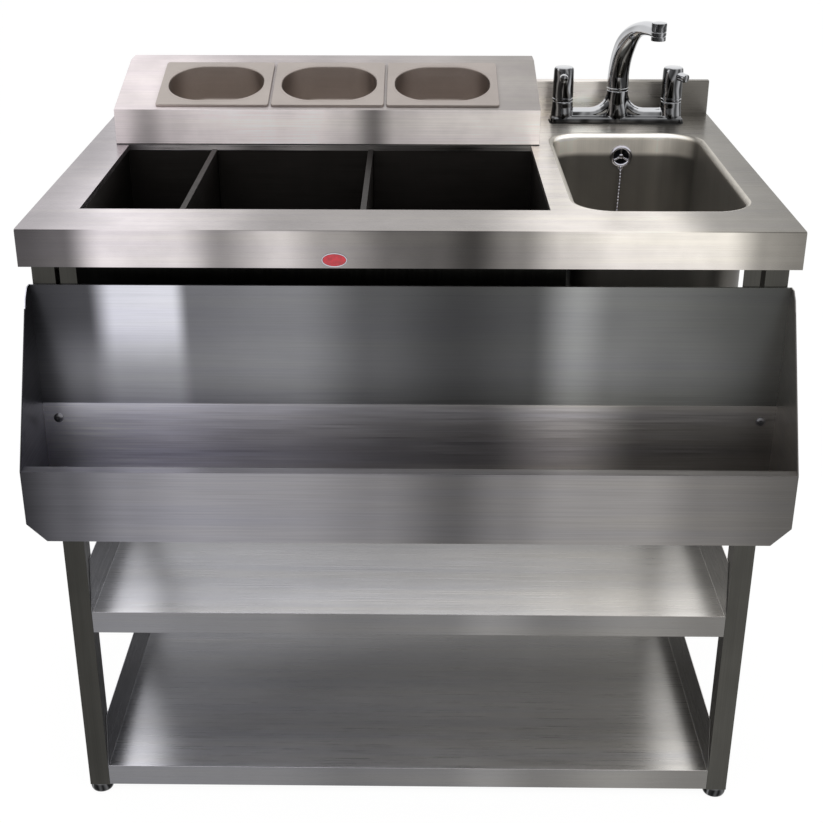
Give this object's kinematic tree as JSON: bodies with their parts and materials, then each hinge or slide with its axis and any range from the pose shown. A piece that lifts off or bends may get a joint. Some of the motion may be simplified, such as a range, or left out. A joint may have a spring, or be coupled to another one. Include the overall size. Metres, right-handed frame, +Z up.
{
  "type": "bar sink with ice bin",
  "caption": "Free-standing stainless bar unit with a divided ice well, garnish pans, wash bowl with bridge tap, speed rail and open shelves.",
  "frame": {"origin": "middle of the footprint, on the floor", "axes": "+X to the right, +Y to the back, +Z up"},
  "size_m": [1, 0.804, 1.09],
  "materials": {
    "steel_top": "brushed",
    "steel_front": "brushed",
    "steel_frame": "satin",
    "steel_shelf": "brushed",
    "steel_well": "satin",
    "steel_bowl": "satin",
    "pan_steel": "polished",
    "chrome": "polished",
    "brass": "turned",
    "black_rubber": "moulded",
    "black_plastic": "moulded",
    "white_plastic": "moulded",
    "foam": "foamed",
    "badge_red": "enamelled"
  },
  "bodies": {
    "frame": {"worktop": "steel_top", "badge": "badge_red", "housing_gasket": "black_rubber", "garnish_housing": "steel_top", "well_tank": "steel_well", "well_foam": "foam", "well_casing": "steel_frame", "well_false_floor": "steel_well", "divider_guides": "steel_well", "well_drain": "chrome", "well_drain_gasket": "black_rubber", "well_drain_nut": "brass", "sink_bowl": "steel_bowl", "waste_fitting": "chrome", "waste_gasket": "black_rubber", "waste_nut": "brass", "plug_chain": "chrome", "overflow_rosette": "chrome", "overflow_elbow": "white_plastic", "overflow_pipe": "white_plastic", "tap_gasket": "black_rubber", "tap_body": "chrome", "tap_valve_left": "brass", "tap_valve_right": "brass", "tap_tail_left": "brass", "tap_tail_right": "brass", "tap_nuts": "brass", "apron_panel": "steel_front", "speed_rail": "steel_front", "rail_bolts": "chrome", "apron_clips": "chrome", "leg_front_left": "steel_frame", "leg_front_right": "steel_frame", "leg_rear_left": "steel_frame", "leg_rear_right": "steel_frame", "beam_front": "steel_frame", "beam_rear": "steel_frame", "beam_left": "steel_frame", "beam_right": "steel_frame", "leg_inserts": "black_plastic", "shelf_middle": "steel_shelf", "shelf_bottom": "steel_shelf", "shelf_stiffeners": "steel_frame", "shelf_screws": "chrome"},
    "spout": {"tap_spout": "chrome", "tap_nozzle": "chrome"},
    "lever_left": {"tap_lever_left": "chrome"},
    "lever_right": {"tap_lever_right": "chrome"},
    "plug": {"sink_plug": "black_rubber"},
    "pan_1": {"garnish_pan_1": "pan_steel"},
    "pan_2": {"garnish_pan_2": "pan_steel"},
    "pan_3": {"garnish_pan_3": "pan_steel"},
    "divider_left": {"divider_left": "steel_well"},
    "divider_right": {"divider_right": "steel_well"},
    "foot_front_left": {"foot_front_left": "chrome"},
    "foot_front_right": {"foot_front_right": "chrome"},
    "foot_rear_left": {"foot_rear_left": "chrome"},
    "foot_rear_right": {"foot_rear_right": "chrome"}
  },
  "joints": [
    {"name": "spout_swivel", "type": "hinge", "parent": "frame", "child": "spout", "pos_m": [0.338, 0.325, 0.97], "axis": [0, 0, 1], "range_deg": [-108, 72]},
    {"name": "lever_left_turn", "type": "hinge", "parent": "frame", "child": "lever_left", "pos_m": [0.249, 0.325, 0.97], "axis": [0, 0, 1], "range_deg": [-85, 5]},
    {"name": "lever_right_turn", "type": "hinge", "parent": "frame", "child": "lever_right", "pos_m": [0.427, 0.325, 0.97], "axis": [0, 0, 1], "range_deg": [-35, 55]},
    {"name": "plug_lift", "type": "slide", "parent": "frame", "child": "plug", "axis": [0, 0, 1], "range_m": [0, 0.12], "deforming": ["plug_chain"]},
    {"name": "pan_1_lift", "type": "slide", "parent": "frame", "child": "pan_1", "axis": [0, -0.2685, 0.9633], "range_m": [0, 0.062]},
    {"name": "pan_2_lift", "type": "slide", "parent": "frame", "child": "pan_2", "axis": [0, -0.2685, 0.9633], "range_m": [0, 0.062]},
    {"name": "pan_3_lift", "type": "slide", "parent": "frame", "child": "pan_3", "axis": [0, -0.2685, 0.9633], "range_m": [0, 0.062]},
    {"name": "divider_left_lift", "type": "slide", "parent": "frame", "child": "divider_left", "axis": [0, 0, 1], "range_m": [0, 0.118]},
    {"name": "divider_right_lift", "type": "slide", "parent": "frame", "child": "divider_right", "axis": [0, 0, 1], "range_m": [0, 0.118]},
    {"name": "foot_front_left_screw", "type": "slide", "parent": "frame", "child": "foot_front_left", "axis": [0, 0, -1], "range_m": [0, 0.02]},
    {"name": "foot_front_right_screw", "type": "slide", "parent": "frame", "child": "foot_front_right", "axis": [0, 0, -1], "range_m": [0, 0.02]},
    {"name": "foot_rear_left_screw", "type": "slide", "parent": "frame", "child": "foot_rear_left", "axis": [0, 0, -1], "range_m": [0, 0.02]},
    {"name": "foot_rear_right_screw", "type": "slide", "parent": "frame", "child": "foot_rear_right", "axis": [0, 0, -1], "range_m": [0, 0.02]}
  ]
}
